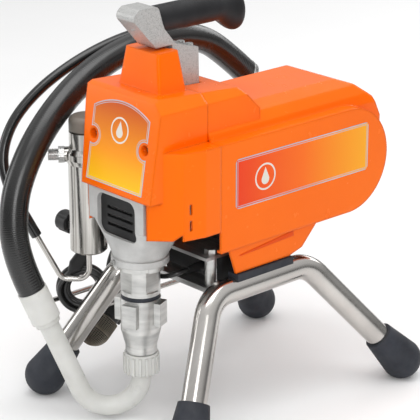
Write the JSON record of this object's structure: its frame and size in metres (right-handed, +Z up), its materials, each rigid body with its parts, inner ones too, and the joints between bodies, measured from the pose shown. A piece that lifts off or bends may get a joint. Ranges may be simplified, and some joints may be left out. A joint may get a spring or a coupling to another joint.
{
  "type": "airless paint sprayer",
  "caption": "Airless paint sprayer on a bent-tube stand: piston pump, motor under a moulded cover, filter, carry grip, suction hose with strainer and drain hose.",
  "frame": {"origin": "on the floor, under the middle of the machine's box without its hoses and lead", "axes": "+Z up, the pump and the front cover face -Y, the motor runs back along +Y, the filter and the hoses are on -X"},
  "size_m": [0.3393, 0.4618, 0.493],
  "materials": {
    "orange_cover": "gloss",
    "light_casting": "satin",
    "polished_tube": "polished",
    "foot_rubber": "matt",
    "flat_steel": "brushed",
    "machined_steel": "machined",
    "zinc_body": "satin plated",
    "hard_chrome": "polished",
    "brass": "machined",
    "white_plastic": "translucent satin",
    "black_plastic": "fine grain",
    "grey_plastic": "satin",
    "hose_rubber": "gloss, finely ribbed",
    "cord_rubber": "satin",
    "label_print": "printed gradient with a silver border",
    "bracket_paint": "speckled satin",
    "motor_can": "satin",
    "armature": "laminated",
    "gear_steel": "oiled",
    "mesh_steel": "woven",
    "board": "lacquered",
    "knob_red": "gloss"
  },
  "bodies": {
    "sprayer": {"base_plate": "flat_steel", "bearings": "machined_steel", "circuit_board": "board", "control_box": "black_plastic", "control_panel": "black_plastic", "cord_coil": "cord_rubber", "cord_gland": "black_plastic", "cross_bars": "flat_steel", "drain_hose": "hose_rubber", "drain_tube": "polished_tube", "drain_valve": "machined_steel", "filter_bowl": "polished_tube", "filter_cap": "grey_plastic", "filter_element": "mesh_steel", "filter_head": "polished_tube", "foot_valve_housing": "zinc_body", "front_cover": "orange_cover", "gearbox_housing": "light_casting", "handle_bracket": "bracket_paint", "handle_grip": "foot_rubber", "hose_coupling": "white_plastic", "hose_ferrule": "machined_steel", "jam_ring": "zinc_body", "labels": "label_print", "left_stand_tube": "polished_tube", "mains_cord": "cord_rubber", "motor_cover": "orange_cover", "motor_end_bell": "light_casting", "motor_stator": "motor_can", "outlet_fitting": "machined_steel", "packing_nut": "brass", "plate_bolts": "machined_steel", "plate_spacers": "machined_steel", "plug": "black_plastic", "pump_cylinder": "zinc_body", "return_nozzle": "machined_steel", "right_stand_tube": "polished_tube", "rod_guard": "black_plastic", "rubber_feet": "foot_rubber", "screws": "machined_steel", "seats_and_seals": "foot_rubber", "skirt_strips": "foot_rubber", "strainer_basket": "mesh_steel", "strainer_collar": "black_plastic", "suction_elbow": "white_plastic", "suction_hose": "hose_rubber", "suction_nut": "white_plastic", "suction_rack": "polished_tube", "suction_tube": "polished_tube"},
    "motor_shaft": {"motor_rotor": "armature", "cooling_fan": "black_plastic"},
    "idler": {"intermediate_gear": "gear_steel"},
    "crank": {"crank_gear": "gear_steel"},
    "piston": {"yoke": "gear_steel", "piston_rod": "hard_chrome"},
    "upper_ball": {"piston_ball": "hard_chrome"},
    "lower_ball": {"foot_valve_ball": "hard_chrome"},
    "prime_knob": {"drain_knob": "black_plastic"},
    "pressure_dial": {"pressure_knob": "black_plastic"},
    "power_rocker": {"switch_rocker": "knob_red"}
  },
  "joints": [
    {"name": "motor_spin", "type": "hinge", "parent": "sprayer", "child": "motor_shaft", "pos_m": [0, 0.05, 0.286], "axis": [0, 1, 0], "continuous": true},
    {"name": "idler_spin", "type": "hinge", "parent": "sprayer", "child": "idler", "pos_m": [0, -0.0587, 0.332], "axis": [0, 1, 0], "continuous": true},
    {"name": "crank_spin", "type": "hinge", "parent": "sprayer", "child": "crank", "pos_m": [0, -0.0787, 0.286], "axis": [0, 1, 0], "continuous": true},
    {"name": "piston_stroke", "type": "slide", "parent": "sprayer", "child": "piston", "axis": [0, 0, 1], "range_m": [-0.014, 0.014]},
    {"name": "upper_ball_lift", "type": "slide", "parent": "piston", "child": "upper_ball", "axis": [0, 0, 1], "range_m": [0, 0.003]},
    {"name": "lower_ball_lift", "type": "slide", "parent": "sprayer", "child": "lower_ball", "axis": [0, 0, 1], "range_m": [0, 0.003]},
    {"name": "prime_turn", "type": "hinge", "parent": "sprayer", "child": "prime_knob", "pos_m": [-0.13, -0.1112, 0.209], "axis": [-1, 0, 0], "range_deg": [0, 90]},
    {"name": "pressure_turn", "type": "hinge", "parent": "sprayer", "child": "pressure_dial", "pos_m": [-0.097, 0.0713, 0.285], "axis": [-1, 0, 0], "range_deg": [0, 270]},
    {"name": "rocker_tip", "type": "hinge", "parent": "sprayer", "child": "power_rocker", "pos_m": [-0.087, 0.0263, 0.285], "axis": [0, 1, 0], "range_deg": [-8, 8]}
  ],
  "couplings": [
    {"joint": "idler_spin", "follows": "motor_spin", "ratio": -0.25},
    {"joint": "crank_spin", "follows": "motor_spin", "ratio": 0.079545}
  ]
}
